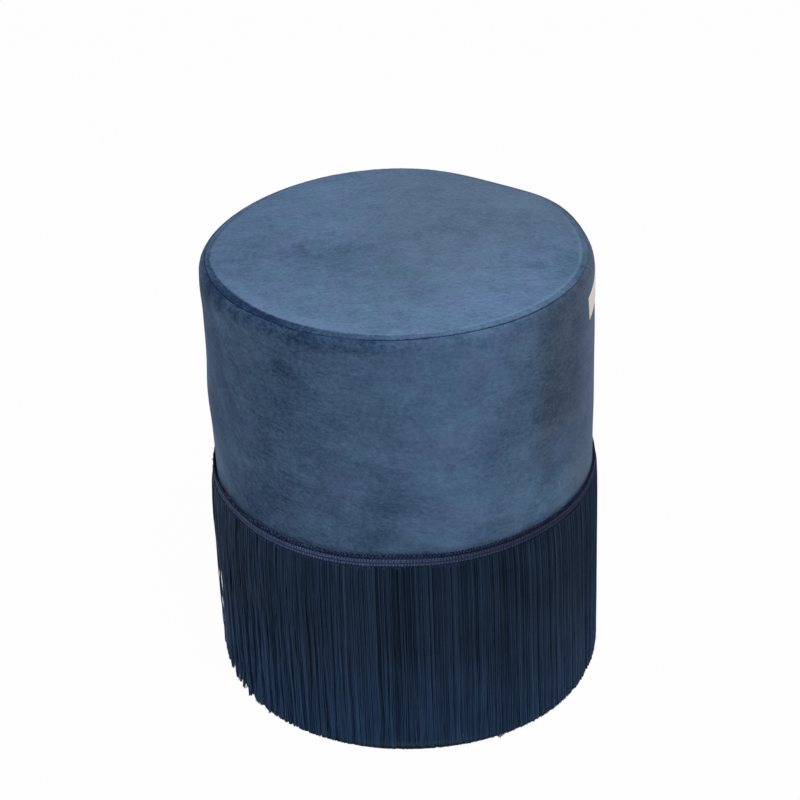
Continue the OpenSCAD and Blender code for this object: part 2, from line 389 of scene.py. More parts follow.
def seenBackground(nodes):
    path = nodes.add("ShaderNodeLightPath", {}, {}, "Is Camera Ray")
    seen = nodes.math("MAXIMUM", path, path.out("Is Glossy Ray"))
    return nodes.math("MAXIMUM", seen, path.out("Is Transmission Ray"))


def makeStudio(size):
    world = bpy.data.worlds.new("studio")
    bpy.context.scene.world = world
    nodes = clearNodes(world)
    strength = seenBackground(nodes) * (1 - size["world"]) + size["world"]
    light = nodes.add("ShaderNodeBackground", {}, {"Color": (1, 1, 1, 1), "Strength": strength})
    nodes.add("ShaderNodeOutputWorld", {}, {"Surface": light})

    data = bpy.data.lights.new("key", "AREA")
    data.shape = "DISK"
    data.size = size["keySize"]
    data.energy = size["keyPower"]
    lamp = addObject("key", data)
    aim = Vector((0, 0, seatTop / 2)) - Vector(size["keyPlace"])
    turn = aim.to_track_quat("-Z", "Y").to_matrix().to_4x4()
    lamp.matrix_world = Matrix.Translation(size["keyPlace"]) @ turn

    material = bpy.data.materials.new("floor")
    nodes = clearNodes(material)
    lit = nodes.add("ShaderNodeBsdfDiffuse", {}, {"Color": (*[size["floorGrey"]] * 3, 1)})
    white = nodes.add("ShaderNodeEmission", {}, {"Color": (1, 1, 1, 1), "Strength": 1.0})
    seen = seenBackground(nodes) * size["floorWhite"]
    surface = nodes.add("ShaderNodeMixShader", {}, {0: seen, 1: lit, 2: white})
    nodes.add("ShaderNodeOutputMaterial", {}, {"Surface": surface})
    half = size["floorSize"] / 2
    corners = [(-half, -half, 0), (half, -half, 0), (half, half, 0), (-half, half, 0)]
    makePiece("floor", corners, [(0, 1, 2, 3)], material, smooth=False)


makeCamera(camera)
makeStudio(studio)
bpy.context.scene.view_settings.view_transform = "Standard"
print("camera and studio made")


# Velvet: short pile, brushed lighter and darker, with painted light and shade laid over it
velvet = {
    "shade": (0.006, 0.024, 0.068),  # pile brushed one way, and painted shade
    "shine": (0.125, 0.235, 0.374),  # pile brushed the other way, and painted light
    "violet": (0.138, 0.221, 0.388),  # the same where it shows warmer
    "dull": (0.109, 0.147, 0.190),  # the light tone where the pile looks greyer, and painted grey sheen at the side's right edge
    "clouds": 0.94,  # strength of the broad patches, which hold finer ones
    "strokes": 0.70,  # and of the brushed streaks
    "grain": 1.12,  # and of the tufts of the pile
    "weave": 0.12,  # and of the threads that show through the pile
    "marks": 0.09,  # and of the marks that hands left
}


# nap runs from 0, dark, to 1, light. lie gives the nap and the dullness that come from the way the pile
# lies and from painted light and shade, and how much its tufts show.
def velvetLook(nodes, lie, brushed):
    place = clothPlace(nodes)
    clouds = nodes.noise(place, 10.0, 7.0, 0.84, 0.25) - 0.5
    strokes = nodes.noise(nodes.stretch(place, (0.45, 1.0, 1.0), brushed), 75.0, 5.0, 0.85, 0.2) - 0.5
    grain = nodes.noise(nodes.stretch(place, (0.75, 1.0, 1.0), brushed), 320.0, 3.0, 0.9) - 0.5
    weave = nodes.noise(nodes.stretch(place, (70.0, 900.0, 1.0)), 1.0, 1.0) - 0.5
    nap, dull, fine = lie(nodes, place)
    nap = nap + clouds * velvet["clouds"] + strokes * fine * velvet["strokes"] + weave * velvet["weave"]
    nap = nap + grain * fine * velvet["grain"]
    marks = nodes.noise(nodes.stretch(place, (1.3, 1.0, 1.0), 0.7), 21.0, 3.0, 0.55, 0.9)
    nap = nap - (nodes.step(marks, 0.58, 0.66) - nodes.step(marks, 0.40, 0.34) * 0.6) * velvet["marks"]
    warmth = nodes.step(nodes.noise(place, 24.0, 4.0, 0.7), 0.36, 0.64)
    dye = nodes.mix(nap, velvet["shade"], nodes.mix(warmth, velvet["shine"], velvet["violet"]))
    dye = nodes.mix(dull, dye, nodes.mix(nap, velvet["shade"], velvet["dull"]))
    pile = nodes.noise(place, 1400.0, 2.0, 0.6)
    normal = nodes.bump(pile, 0.0006, 0.5)
    normal = nodes.bump(strokes, 0.0012, 0.3, normal)
    return {"Base Color": dye, "Roughness": 0.88, "Normal": normal}


# Patches of nap on the seat, partly brushed pile and partly painted shade: x and y on the cloth, reach,
# change of nap
seatNapAndShade = [
    (-0.033, -0.030, 0.045, -0.11),
    (0.009, -0.065, 0.028, -0.13),
    (0.139, -0.030, 0.034, -0.13),
    (-0.054, -0.010, 0.034, -0.13),
    (-0.116, 0.000, 0.032, -0.11),
    (-0.050, -0.062, 0.022, -0.07),
    (0.118, 0.084, 0.030, 0.09),
    (-0.048, -0.040, 0.022, -0.06),
    (0.009, -0.096, 0.022, -0.12),
    (0.148, -0.060, 0.028, -0.13),
    (0.148, 0.036, 0.030, -0.06),
    (-0.080, 0.120, 0.035, 0.07),
    (-0.115, -0.078, 0.036, 0.10),
]


# The seam's dark line, partly its dark thread and partly painted shade in its groove, fades at the front and
# the front left, at the far left and at the right.
def seamShows(nodes, turn):
    return 1.0 - nodes.humps(turn, [(-107, 12, 0.85), (-2, 30, 0.7), (-138, 14, 0.6), (172, 18, 0.9)])


# On the seat the band beyond the crease is darkened with painted shade, most on the left, the crease gets a
# painted highlight, and the ring inside it painted light and shade; the seam and the crease at the back left
# get painted dark lines of shade.
def seatLie(nodes, place):
    where = nodes.split(place)
    distance = nodes.add("ShaderNodeVectorMath", {"operation": "LENGTH"}, {0: place}, "Value")
    turn = nodes.bearing(where)
    crease = distance - rimRadius + nodes.hump(turn, -128.0, 34.0) * 0.0010
    beyond = nodes.step(crease, 0.0001, 0.0013)
    # Painted shade on the band beyond the crease, deepest on the left
    depth = nodes.humps(turn, [(-140, 30, 0.56), (-104, 20, 0.14), (-8, 32, 0.07)]) + 0.15
    # Painted highlight along the crease, most at the front right
    gleam = nodes.ridge(distance, rimRadius - 0.0004, 0.0008) * (nodes.hump(turn, -30.0, 42.0) * 0.20 + 0.03)
    # Painted light inside the crease on the left, and painted shade inside it on the right
    inside = nodes.humps(turn, [(-130, 32, 0.20), (-12, 34, -0.12)])
    inside = inside * nodes.ridge(distance, rimRadius - 0.004, 0.009) * (1.0 - beyond)
    # Painted shade: a dark line in the crease at the back left
    fold = nodes.ridge(distance, rimRadius + 0.0006, 0.0007) * nodes.hump(turn, 168.0, 24.0)
    # Painted shade in the seam's groove
    line = nodes.ridge(distance, rimRadius + cover["band"], 0.0007) * seamShows(nodes, turn)
    left = nodes.step(where, -0.03, -0.11)
    bluer = nodes.step(where, 0.02, -0.07)
    grey = nodes.step(where.out("Y") - where * 0.6, -0.17, -0.02) * 0.42 * (1.0 - bluer * 0.85) + 0.04
    nap = gleam - beyond * depth + inside - fold * 0.45 - left * 0.13 - line * 0.35 + 0.825
    for x, y, reach, change in seatNapAndShade:
        off = nodes.add("ShaderNodeVectorMath", {"operation": "DISTANCE"}, {0: place, 1: (x, y, 0)}, "Value")
        nap = nap + nodes.ridge(off, 0.0, reach) * change
    return nap, grey + beyond * nodes.hump(turn, -8.0, 32.0) * 0.35, 1.08


# Round the side the nap changes in zones, which hold both the pile's brushing and painted light and shade:
# shares of the way round from the back seam, with their nap
sideNapShadeZones = {
    0.0: 0.48, 0.26: 0.48, 0.285: 0.53, 0.300: 0.42, 0.33: 0.38, 0.37: 0.41,
    0.42: 0.385, 0.45: 0.43, 0.50: 0.575, 0.56: 0.61, 0.607: 0.575, 0.628: 0.49,
    0.665: 0.47, 0.69: 0.59, 0.71: 0.63, 0.75: 0.63, 1.0: 0.48,
}
# and how dull they look, partly painted grey sheen
dullSheenZones = {
    0.0: 0.3, 0.25: 0.6, 0.29: 0.5, 0.32: 0.12, 0.45: 0.02, 0.55: 0.02,
    0.607: 0.22, 0.628: 0.9, 0.69: 1.0, 1.0: 0.3,
}


# Patches of nap on the side, partly brushed pile and partly painted light and shade, among them a painted
# highlight low on the far left: bearing, height, reach in degrees and in height, change of nap
sideNapLightShade = [
    (-165, 0.238, 7, 0.018, 0.62),
    (-170, 0.275, 6, 0.014, -0.10),
    (-168, 0.338, 7, 0.020, 0.28),
    (-163, 0.392, 6, 0.012, -0.13),
    (-154, 0.330, 5, 0.022, -0.12),
    (-146, 0.266, 7, 0.018, 0.24),
    (-138, 0.226, 5, 0.014, -0.15),
    (-138, 0.385, 8, 0.022, 0.14),
    (-121, 0.375, 8, 0.030, -0.08),
    (-136, 0.350, 6, 0.012, 0.10),
    (-118, 0.230, 8, 0.018, 0.16),
    (-98, 0.225, 6, 0.013, -0.17),
    (-103, 0.308, 6, 0.014, 0.18),
    (-93, 0.255, 10, 0.014, -0.20),
    (-88, 0.368, 5, 0.012, 0.12),
    (-79, 0.278, 8, 0.013, 0.16),
    (-67, 0.222, 6, 0.012, -0.18),
    (-66, 0.383, 8, 0.014, 0.12),
    (-62, 0.302, 8, 0.018, -0.20),
    (-58, 0.327, 5, 0.010, -0.10),
    (-49, 0.309, 5, 0.012, -0.10),
    (-47, 0.350, 5, 0.012, -0.12),
    (-38, 0.220, 6, 0.020, 0.21),
    (-25, 0.222, 6, 0.028, 0.24),
    (-25, 0.268, 5, 0.018, -0.06),
]


def sideLie(nodes, place):
    where = nodes.split(place)
    height = where.out("Y")
    share = where / (bodyRadius * tau)
    turn = share * tau + pi / 2
    ragged = nodes.noise(place, 12.0, 6.0, 0.7) * 0.09 - 0.045
    looks = []
    for zones in (sideNapShadeZones, dullSheenZones):
        stops = [(position, (tone, tone, tone)) for position, tone in zones.items()]
        ramp = nodes.add("ShaderNodeValToRGB", {"stops": stops}, {0: share + ragged})
        looks.append(nodes.add("ShaderNodeSeparateColor", {}, {0: ramp}, 0))
    # Painted shade below the seam, under the overhang of the rim, deepest and reaching furthest down at the
    # far left; torn makes its lower edge ragged
    torn = (nodes.noise(place, 60.0, 4.0, 0.7) - 0.5) * 0.016
    deepShade = nodes.hump(turn, -166.0, 11.0)
    reach = deepShade * 0.011 + nodes.hump(turn, -104.0, 20.0) * 0.005
    shadeUnderSeam = nodes.step(height + torn + reach, rimLevel - 0.003, rimLevel + 0.006)
    shadeUnderSeam = shadeUnderSeam * (nodes.humps(turn, [(-136, 24, 0.15), (-103, 18, 0.14)]) + deepShade * 0.22 + 0.05)
    # Painted highlights: a band below the rim on the left, and along the far left edge where grazing light
    # catches the pile
    light = nodes.ridge(height, rimLevel - 0.014, 0.010) * nodes.hump(turn, -155.0, 8.0) * 0.16
    rim = nodes.ridge(height, 0.235, 0.035) * 0.22 + nodes.step(height, 0.345, 0.315) * 0.26
    light = light + nodes.hump(turn, -173.5, 6.0) * rim
    # Painted shade in the seam's groove
    line = nodes.ridge(height, rimLevel + cover["turnIn"], 0.0007) * seamShows(nodes, turn)
    nap = looks[0] - shadeUnderSeam + light - line * 0.30
    for bearing, level, wide, tall, change in sideNapLightShade:
        nap = nap + nodes.hump(turn, bearing, wide) * nodes.ridge(height, level, tall) * change
    slanting = nodes.noise(nodes.stretch(place, (0.35, 1.0, 1.0), -0.9), 62.0, 5.0, 0.8) - 0.5
    nap = nap + slanting * nodes.hump(turn, -152.0, 24.0) * 0.95
    lying = nodes.noise(nodes.stretch(place, (0.4, 1.0, 1.0), 0.25), 48.0, 5.0, 0.8) - 0.5
    nap = nap + lying * nodes.hump(turn, -42.0, 20.0) * 0.65
    dull = looks[1] * (1.0 - nodes.hump(turn, -42.0, 12.0) * nodes.step(height, 0.31, 0.25) * 0.8)
    return nap, dull, 1.04 - nodes.hump(turn, -84.0, 30.0) * 0.22


velvetFixed = {
    "Sheen_Weight": 0.26,
    "Sheen_Roughness": 0.32,
    "Sheen_Tint": (0.42, 0.60, 1.0, 1),
    "Specular_IOR_Level": 0.12,
}
topVelvet = makeMaterial("velvet-top", lambda nodes: velvetLook(nodes, seatLie, 0.12), **velvetFixed)
sideVelvet = makeMaterial("velvet-side", lambda nodes: velvetLook(nodes, sideLie, -0.15), **velvetFixed)


# How the rim differs round the seat: bearing, width, how much
unevenness = {
    # degrees that the seam lies further down
    "seam": [(-148, 14, 6), (-120, 14, 4.5), (-95, 12, 4.6), (-50, 20, 8.5), (-28, 8, 3), (110, 20, 4)],
    # how far the rim sits inwards and down where the foam is softer
    "inward": [(54, 20, 0.0030), (8, 20, 0.0028), (148, 26, 0.0012)],
    "down": [(54, 20, 0.0042), (8, 20, 0.0024), (148, 26, 0.0014)],
    # how much smaller its radius is, so that the crease sits further out
    "crisp": [
        (-178, 12, 0.0019),
        (-150, 14, -0.0018),
        (-100, 22, 0.0009),
        (-65, 22, 0.0014),
        (-32, 18, 0.0019),
    ],
}


def seamAngle(turn):
    return cover["seam"] + bumps(turn, unevenness["seam"])


def crispness(turn):
    return bumps(turn, unevenness["crisp"])


def slump(turn):
    return bumps(turn, unevenness["inward"]), bumps(turn, unevenness["down"])


def rimCentre(turn):  # radius and height of the middle of the rim's rounding
    inward, down = slump(turn)
    tight = crispness(turn)
    return rimRadius - inward + tight, rimLevel - down + tight


def rimPoint(turn, angle, inset=0.0, lift=0.0):
    radius, height = rimCentre(turn)
    reach = cover["edge"] - crispness(turn) - inset + lift
    return radius + reach * sin(radians(angle)), height + reach * cos(radians(angle))


# The groove of the seam is less deep at the right and where its thread is pulled out.
def groove(turn, angle, wide):
    depth = seat["groove"] * (1 - 0.75 * bump(turn, -4, 32) - 0.45 * bump(turn, -137, 15))
    return depth * exp(-((seamAngle(turn) - angle) / wide) ** 2)


def sway(turn, height, size, scale):  # soft unevenness of the padding
    spot = Vector((cos(turn), sin(turn), height / bodyRadius)) * scale
    return size * noise.noise(spot)


# Seat: a crowned disc, a crisp crease, the rolled rim and its edge folded back under the seam
seat = {
    "rings": 44,
    "rimRings": 14,
    "foldRings": 4,
    "underRings": 12,
    "waver": 0.0007,
    "waves": 14,
    "inner": 0.0006,  # how far inside the rim's centre line the crown ends
    "groove": 0.0011,  # depth of the seam
    "grooveWide": 3.5,  # degrees
    "bandFrom": 2,  # degrees down the rim
    "bandFlat": 0.0005,  # how much flatter than the rim the band between crease and seam is
    "creaseFlat": 0.0007,  # and how much more beside the crease
    "bandWaver": 0.0002,
    "bandWaves": 40,
    "foldGap": 0.0006,
    "foldReach": 0.9,  # how far it runs back towards the crease
    "foldCloth": 0.001,
    "underInset": 0.0004,
    "allowance": 0.010,  # cloth beyond the seam
    "roll": 0.012,  # and over the rim
}


def seatSurface(turn, share, under=0.0):  # share runs from the middle to the crease
    crown, inner = cover["crown"], rimRadius - seat["inner"]
    ball = (inner ** 2 + crown ** 2) / (2 * crown)
    radius = inner * share
    spot = Vector((radius * cos(turn), radius * sin(turn), 0.3)) * seat["waves"]
    waver = seat["waver"] * noise.noise(spot) * (1 - share ** 6)
    inward, down = slump(turn)
    height = seatTop - ball + sqrt(ball ** 2 - radius ** 2) - down * share ** 8 + waver
    return radius + (crispness(turn) - inward) * share ** 4, height - under


def makeSeat(size):
    rings, rim, fold, under = (size[key] for key in ("rings", "rimRings", "foldRings", "underRings"))
    thick = cover["thickness"]

    def ringShare(k):
        return (k / (rings - 1)) ** 0.8

    def place(turn, k):
        if k < rings:
            return seatSurface(turn, ringShare(k))
        k -= rings
        seam = seamAngle(turn)
        if k < rim:
            share = k / (rim - 1)
            angle = size["bandFrom"] + (seam - size["bandFrom"]) * share
            flat = size["bandFlat"] * share * (1 - share) * 4 + size["creaseFlat"] * (1 - share) ** 2
            uneven = size["bandWaver"] * noise.noise(Vector((cos(turn), sin(turn), 0)) * size["bandWaves"])
            return rimPoint(turn, angle, groove(turn, angle, size["grooveWide"]), uneven - flat)
        k -= rim
        if k < fold:  # the folded edge, running back under the rim
            angle = seam - k * seam / fold * size["foldReach"]
            return rimPoint(turn, angle, size["foldGap"] + thick * (1 if k < 1 else 2))
        k -= fold
        radius, height = seatSurface(turn, 1 - k / (under - 1), thick)
        return max(radius - size["underInset"], 0) if k < under - 1 else 0, height

    def cloth(turn, k):  # the disc laid flat, its crease and its seam on circles
        if k < rings:
            flat = rimRadius * ringShare(k)
        elif k < rings + rim:
            flat = rimRadius + cover["band"] * (k - rings) / (rim - 1)
        else:
            flat = rimRadius + cover["band"] + size["foldCloth"]
        return flat * cos(turn), flat * sin(turn)

    piece = turnOutline("top-panel", rings + rim + fold + under, place, topVelvet, cloth=cloth)
    return belong(piece, "velvet", "top_panel")


seatPiece = makeSeat(seat)
print("seat made")


# Side: the velvet strip from the seam down to its hem under the base
side = {
    "rings": 120,
    "rimRings": 12,
    "edgeRings": 6,
    "hemRings": 6,
    "waver": 0.0007,
    "wavesRound": 3.0,
    "grooveWide": 4.0,  # degrees
    "pucker": 0.00035,
    "puckerReach": 0.03,
    "puckersRound": 26,
    "puckersUp": 18,
    "slumpFrom": 0.33,  # the height from which the rim's soft places draw it in
    "freeFrom": 0.004,  # how far above the braid the cloth begins to waver
    "freeReach": 0.03,
    "backSeam": 0.02,  # cloth in the back seam
    "height": 0.46,  # of the flat strip
}

# Swellings at the left: bearing, width, height, reach in height, how far they stand out
swellings = [(-178, 35, 0.285, 0.026, 0.0022), (-174, 22, 0.392, 0.014, 0.0011)]


def sideRadius(turn, height):  # the velvet's face between its rounded edges
    inward, down = slump(turn)
    ease = clamp((height - side["slumpFrom"]) / (rimLevel - side["slumpFrom"]))
    belly = 0
    for bearing, width, level, reach, out in swellings:
        belly += out * bump(turn, bearing, width) * exp(-(((height - level) / reach) ** 2))
    free = clamp((height - headerHigh - side["freeFrom"]) / side["freeReach"])
    waver = sway(turn, height, side["waver"], side["wavesRound"])
    return bodyRadius - inward * ease ** 1.5 + belly + free * waver


def makeSide(size):
    rim, rings, edgeRings, hemRings = (size[key] for key in ("rimRings", "rings", "edgeRings", "hemRings"))
    thick, edge = cover["thickness"], cover["underEdge"]
    lowest = hemLevel + edge
    last = rim + rings + 1 + edgeRings + hemRings

    def outer(turn, k):
        if k < rim:  # from the seam round the rim
            seam = seamAngle(turn)
            angle = seam + (90 - seam) * k / rim
            height = rimPoint(turn, angle)[1]
            bulge = sway(turn, height, size["waver"], size["wavesRound"]) * k / rim
            return rimPoint(turn, angle, groove(turn, angle, size["grooveWide"]), bulge)
        k -= rim
        if k <= rings:
            foot = rimCentre(turn)[1]
            height = foot + (lowest - foot) * k / rings
            return sideRadius(turn, height), height
        k -= rings + 1
        if k < edgeRings:
            angle = radians((k + 1) * 90 / edgeRings)
            return bodyRadius - edge + edge * cos(angle), lowest - edge * sin(angle)
        return bodyRadius - edge - (cover["hem"] - edge) * (k + 1 - edgeRings) / hemRings, hemLevel

    def place(turn, k):
        inner = k >= last
        radius, height = outer(turn, 2 * last - 1 - k if inner else k)
        below = clamp((rimPoint(turn, seamAngle(turn))[1] - height) / size["puckerReach"])
        wrinkle = noise.noise(Vector((turn * size["puckersRound"], height * size["puckersUp"], 0)))
        radius += size["pucker"] * (1 - below) ** 2 * below * 6 * wrinkle
        if inner:
            centre, foot = rimCentre(turn)
            if height > foot:
                out = Vector((radius - centre, height - foot))
            elif height > lowest:
                out = Vector((1, 0))
            elif radius > bodyRadius - edge:
                out = Vector((radius - bodyRadius + edge, height - lowest))
            else:
                out = Vector((0, -1))
            out.normalize()
            radius, height = radius - thick * out.x, height - thick * out.y
        return radius, height

    def cloth(turn, k):  # the strip laid flat, its seam on a straight line
        k = 2 * last - 1 - k if k >= last else k
        if k < rim:
            up = rimLevel + cover["turnIn"] * (1 - k / rim)
        else:
            up = rimLevel + (lowest - rimLevel) * min((k - rim) / rings, 1)
        return (turn - pi / 2) * bodyRadius, up

    piece = turnOutline("side-panel", 2 * last, place, sideVelvet, steps=600, cloth=cloth)
    return belong(piece, "velvet", "side_panel")


sidePiece = makeSide(side)
print("side made")


# Seam thread: the stitches that show in the groove between seat and side
seamThread = {
    "pitch": 0.0031,
    "stitch": 0.0022,
    "thread": 0.00032,
    "sunk": 0.0007,
    "pulled": 0.0008,  # how far the stitches stand out at the front left
    "below": 1.2,  # degrees below the seam
    "steps": 720,
}


def threadLook(nodes):
    place = objectPlace(nodes)
    turn = nodes.bearing(nodes.split(place))
    twist = nodes.noise(place, 2600.0, 2.0)
    pulled = nodes.hump(turn, -136.0, 15.0) * nodes.step(nodes.noise(place, 130.0, 1.0), 0.34, 0.46)
    dye = nodes.mix(twist, (0.006, 0.014, 0.034), (0.016, 0.034, 0.078))
    dye = nodes.mix(seamShows(nodes, turn), (0.050, 0.094, 0.165), dye)
    return {
        "Base Color": nodes.mix(pulled, dye, (0.130, 0.235, 0.470)),
        "Roughness": 0.8,
        "Normal": nodes.bump(twist, 0.0002, 0.5),
    }


threadDye = makeMaterial("seam-thread", threadLook, Specular_IOR_Level=0.1, Specular_Tint=(0.3, 0.5, 1.0, 1))


def stitchRule(nodes, size):
    path = nodes.add("GeometryNodeMeshToCurve", {}, {"Mesh": size["Geometry"]})
    spaced = {"Curve": path, "Length": size["pitch"]}
    points = nodes.add("GeometryNodeResampleCurve", {"mode": "LENGTH"}, spaced)
    turn = nodes.bearing(nodes.split(nodes.add("GeometryNodeInputPosition")))
    scale = nodes.vector(size["thread"] * 2, size["stitch"], size["thread"] * 2)
    return nodes.smooth(nodes.scatter(points, nodes.bead(0.5), Rotation=nodes.vector(z=turn), Scale=scale))


def makeSeamThread(size):
    steps, points = size["steps"], []
    for i in range(steps):
        turn = tau * i / steps
        sunk = size["sunk"] - size["pulled"] * bump(turn, -136, 14)
        radius, height = rimPoint(turn, seamAngle(turn) + size["below"], inset=sunk)
        points.append((radius * cos(turn), radius * sin(turn), height))
    line = bpy.data.meshes.new("seam-line")
    line.from_pydata(points, [(i, (i + 1) % steps) for i in range(steps)], [])
    sizes = {key: size[key] for key in ("pitch", "stitch", "thread")}
    return belong(grow("seam-thread", stitchRule, sizes, threadDye, line), "velvet")


makeSeamThread(seamThread)
print("seam sewn")


# Braid that heads the fringe: a knitted tape with rows of raised stitches under an edge of loops
braid = {
    "height": headerHigh - headerLow,
    "band": 0.0012,
    "tape": 0.60,  # share of the height that the knitted tape takes
    "stitches": 420,  # in each row
    "loops": 372,
    "loopWide": 0.0014,
    "loopHigh": 0.0046,
    "coils": 158,  # turns of each of the two cords that wind along the edge
    "coilPoints": 12,
    "tails": 640,
    "cord": 0.00032,
    "drawn": 0.0011,  # how much closer the band's upper edge lies at the far right
}


def cordLook(nodes, dark, light, plain):  # plainer and more violet at the right
    place = objectPlace(nodes)
    fibre = nodes.noise(nodes.stretch(place, (1.0, 1.0, 2.5)), 900.0, 3.0, 0.6)
    drift = nodes.noise(place, 35.0, 2.0) - 0.5
    dye = nodes.mix(fibre + drift * 0.9, dark, light)
    dim = nodes.step(nodes.split(place), -0.07, 0.12) * 0.85
    return {
        "Base Color": nodes.mix(dim, dye, plain),
        "Roughness": 0.62 + fibre * 0.2,
        "Normal": nodes.bump(fibre, 0.0004, 0.6),
    }


def bandLook(nodes):  # bluer at the left, more violet at the right, and darker between its stitches as painted shade
    place = objectPlace(nodes)
    where = nodes.split(place)
    wale = nodes.math("SINE", nodes.bearing(where) * float(braid["stitches"])) * 0.5 + 0.5
    fibre = nodes.noise(place, 1100.0, 3.0, 0.6)
    drift = nodes.noise(place, 28.0, 2.0) - 0.5
    yarn = nodes.mix(nodes.step(where, -0.09, 0.14), (0.066, 0.105, 0.215), (0.030, 0.030, 0.064))
    knit = wale * 0.35 + fibre * 0.65 + drift * 0.5
    return {
        "Base Color": nodes.mix(knit, (0.012, 0.022, 0.054), yarn),
        "Roughness": 0.66 + fibre * 0.2,
        "Normal": nodes.bump(wale * 0.7 + fibre * 0.5, 0.0005, 0.7),
    }


braidFixed = {"Specular_IOR_Level": 0.12, "Specular_Tint": (0.4, 0.5, 1.0, 1)}
bandDye = makeMaterial("braid-band", bandLook, **braidFixed)


def cordMaterial(name, dark, light, plain):
    return makeMaterial(name, lambda nodes: cordLook(nodes, dark, light, plain), **braidFixed)


navyCord = cordMaterial("braid-edge", (0.004, 0.009, 0.030), (0.013, 0.025, 0.068), (0.008, 0.012, 0.034))
paleCord = cordMaterial("braid-stitches", (0.044, 0.066, 0.135), (0.156, 0.195, 0.330), (0.034, 0.038, 0.078))
laceCord = cordMaterial("braid-lace", (0.030, 0.054, 0.120), (0.105, 0.160, 0.300), (0.026, 0.034, 0.074))


# The braid climbs a little on the left, and at the front where its ends were joined.
climbs = [(-155, 15, 0.0026), (-93, 10, 0.0013)]  # bearing, width, height
laceClimbs = [*climbs, (-90, 10, 0.0016)]  # of the fine cords along its edge


# Points round the body, for instances that face outwards
def ringPoints(nodes, count, radius, level, seed):
    turn = (nodes.add("GeometryNodeInputIndex") + nodes.random(-0.14, 0.14, seed)) * (tau / count)
    drawn = nodes.step(level, headerLow, headerHigh) * nodes.hump(turn, 0.0, 30.0) * 0.0016
    level = nodes.humps(turn, climbs) + level
    place = nodes.polar(turn, radius - drawn, level)
    points = nodes.add("GeometryNodePoints", {}, {"Count": count, "Position": place})
    return nodes.store(points, turn=turn)


def loopRule(nodes, size):
    upright = {"Geometry": nodes.circle(12, 0.5), "Translation": (0, 0, 0.5), "Rotation": (0, pi / 2, 0)}
    line = nodes.add("GeometryNodeTransform", {}, upright)
    scaled = {"Geometry": line, "Scale": nodes.vector(1.0, size["wide"], size["high"])}
    loop = nodes.tube(nodes.add("GeometryNodeTransform", {}, scaled), size["wire"])
    points = ringPoints(nodes, braid["loops"], size["radius"], size["level"], 3)
    flat = nodes.hump(nodes.read("turn"), 2.0, 24.0)  # pressed flat at the far right
    lean = nodes.random(0.00, 0.40, 6) * (1.0 - flat * 0.97)
    stance = nodes.vector(nodes.random(-0.22, 0.22, 5), lean, nodes.read("turn"))
    large = nodes.random(0.72, 1.14, 8) * (1.0 - flat * 0.60)
    return nodes.smooth(nodes.scatter(points, loop, Rotation=stance, Scale=nodes.vector(1.0, large, large)))


# Two cords round the body that swing up and down and in and out
def laceRule(nodes, size):
    count = braid["coils"] * braid["coilPoints"]
    turn = nodes.add("GeometryNodeInputIndex") * (tau / count)
    cords = []
    for phase in (0.0, pi):
        wave = turn * float(braid["coils"]) + phase
        out = nodes.math("COSINE", wave) * size["over"] - nodes.hump(turn, 0.0, 30.0) * 0.0010
        rise = nodes.math("SINE", wave) * size["swing"] + size["level"] + nodes.humps(turn, laceClimbs)
        moved = {"Geometry": nodes.circle(count, size["radius"]), "Offset": nodes.polar(turn, out, rise)}
        cords.append(nodes.tube(nodes.add("GeometryNodeSetPosition", {}, moved), size["cord"]))
    return nodes.smooth(*cords)


# Level and half height of each row in shares of the braid, half length in shares of the pitch, slant
bandRows = [(0.125, 0.095, 0.29, 0.10), (0.405, 0.052, 0.40, -0.55), (0.530, 0.058, 0.31, 0.55)]
knotRows = [(0.730, 0.032, 0.24, 0.30), (0.915, 0.060, 0.32, -0.20)]


def stitchRows(nodes, size, rowLooks):
    rows = []
    for row, (level, tall, long, slant) in enumerate(rowLooks):
        height = size["low"] + size["high"] * level
        points = ringPoints(nodes, braid["stitches"], size["radius"], height, 11 + row)
        stance = nodes.vector(nodes.random(-0.2, 0.2, 14 + row) + slant, 0.0, nodes.read("turn"))
        large = nodes.random(0.75, 1.2, 17 + row)
        scale = nodes.vector(size["thickness"], size["pitch"] * long * large, size["high"] * tall * large)
        rows.append(nodes.scatter(points, nodes.bead(1.0), Rotation=stance, Scale=scale))
    return nodes.smooth(*rows)


def tailRule(nodes, size):  # short ends that lie over the tops of the yarns
    points = ringPoints(nodes, braid["tails"], size["radius"], size["level"], 31)
    stance = nodes.vector(nodes.random(-0.2, 0.2, 32), nodes.random(-0.15, 0.05, 34), nodes.read("turn"))
    scale = nodes.vector(size["wire"], size["wire"], size["length"] * nodes.random(0.5, 1.3, 33))
    return nodes.smooth(nodes.scatter(points, nodes.bead(1.0, 6), Rotation=stance, Scale=scale))


